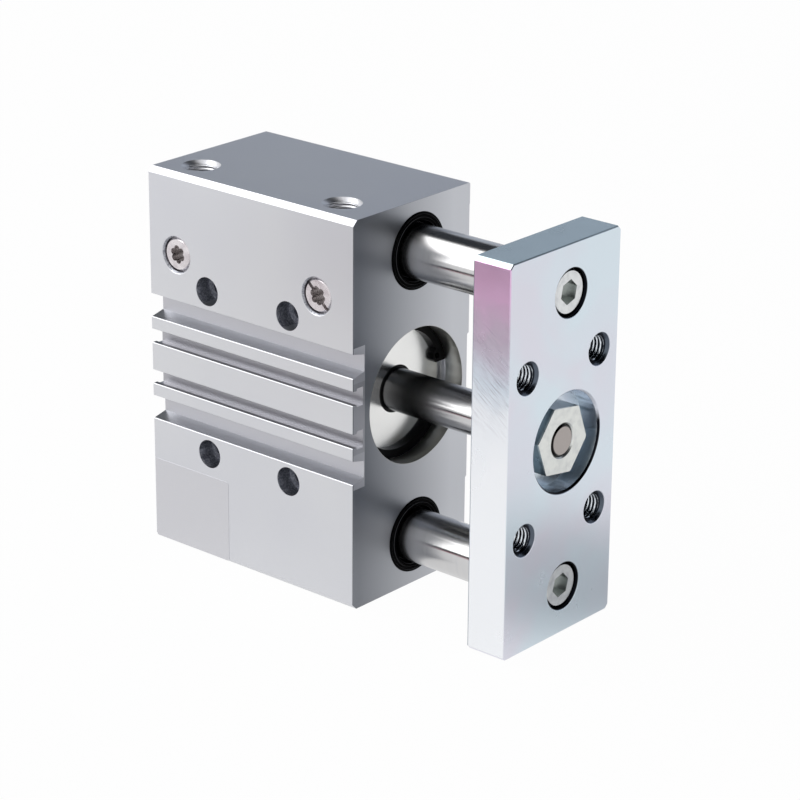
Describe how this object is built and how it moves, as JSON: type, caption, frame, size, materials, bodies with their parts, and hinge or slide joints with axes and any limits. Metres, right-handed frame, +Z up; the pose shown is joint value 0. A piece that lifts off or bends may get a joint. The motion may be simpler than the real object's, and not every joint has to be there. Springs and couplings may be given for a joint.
{
  "type": "guided pneumatic cylinder",
  "caption": "Compact air cylinder with ball-guided rods beside its piston rod and a yoke plate joining them, in a slotted aluminium body.",
  "frame": {"origin": "on the piston axis at the rear face of the body, midway between the two rear threads", "axes": "+X along the stroke from the rear face to the yoke plate, -Y out of the slotted side, +Z up to the face with the air ports"},
  "size_m": [0.1695, 0.0639, 0.148],
  "materials": {
    "anodised_aluminium": "satin clear anodised extrusion",
    "machined_aluminium": "fine turned, clear",
    "zinc_plated_steel": "blue-passivated zinc plate, satin",
    "chromed_rod": "ground and hard chromed",
    "hardened_guide_steel": "ground, hardened",
    "bearing_steel": "ground",
    "bright_fasteners": "bright zinc plated",
    "port_plug_steel": "bright zinc plated",
    "phosphated_spring_steel": "black phosphate",
    "nitrile_rubber": "matt moulded",
    "guide_wiper_rubber": "moulded, slight sheen",
    "polyurethane": "moulded",
    "acetal": "moulded",
    "filled_ptfe": "smooth",
    "bonded_magnet": "moulded",
    "sintered_bronze": "oil-filled sinter"
  },
  "bodies": {
    "cylinder_body": {"housing": "anodised_aluminium", "front_bearing_cap": "machined_aluminium", "rod_bush": "sintered_bronze", "rod_seal": "nitrile_rubber", "rod_wiper": "nitrile_rubber", "front_cap_o_ring": "nitrile_rubber", "front_retaining_ring": "phosphated_spring_steel", "rear_end_cap": "machined_aluminium", "rear_cap_o_ring": "nitrile_rubber", "rear_retaining_ring": "phosphated_spring_steel", "upper_guide_wiper": "guide_wiper_rubber", "upper_front_bushing_sleeve": "bearing_steel", "upper_front_bushing_cage": "acetal", "upper_bushing_spacer": "bearing_steel", "upper_rear_bushing_sleeve": "bearing_steel", "upper_rear_bushing_cage": "acetal", "lower_guide_wiper": "guide_wiper_rubber", "lower_front_bushing_sleeve": "bearing_steel", "lower_front_bushing_cage": "acetal", "lower_bushing_spacer": "bearing_steel", "lower_rear_bushing_sleeve": "bearing_steel", "lower_rear_bushing_cage": "acetal", "rear_port_plug": "port_plug_steel", "front_port_plug": "port_plug_steel"},
    "carriage": {"yoke_plate": "zinc_plated_steel", "upper_guide_rod": "hardened_guide_steel", "lower_guide_rod": "hardened_guide_steel", "piston_rod": "chromed_rod", "upper_rod_screw": "bright_fasteners", "lower_rod_screw": "bright_fasteners", "rod_nut": "bright_fasteners", "piston": "machined_aluminium", "piston_nut": "bright_fasteners", "piston_rod_o_ring": "nitrile_rubber", "front_piston_seal": "nitrile_rubber", "rear_piston_seal": "nitrile_rubber", "magnet_ring": "bonded_magnet", "piston_wear_band": "filled_ptfe", "front_bumper": "polyurethane", "rear_bumper": "polyurethane"}
  },
  "joints": [
    {"name": "stroke", "type": "slide", "parent": "cylinder_body", "child": "carriage", "axis": [1, 0, 0], "range_m": [-0.05, 0]}
  ]
}
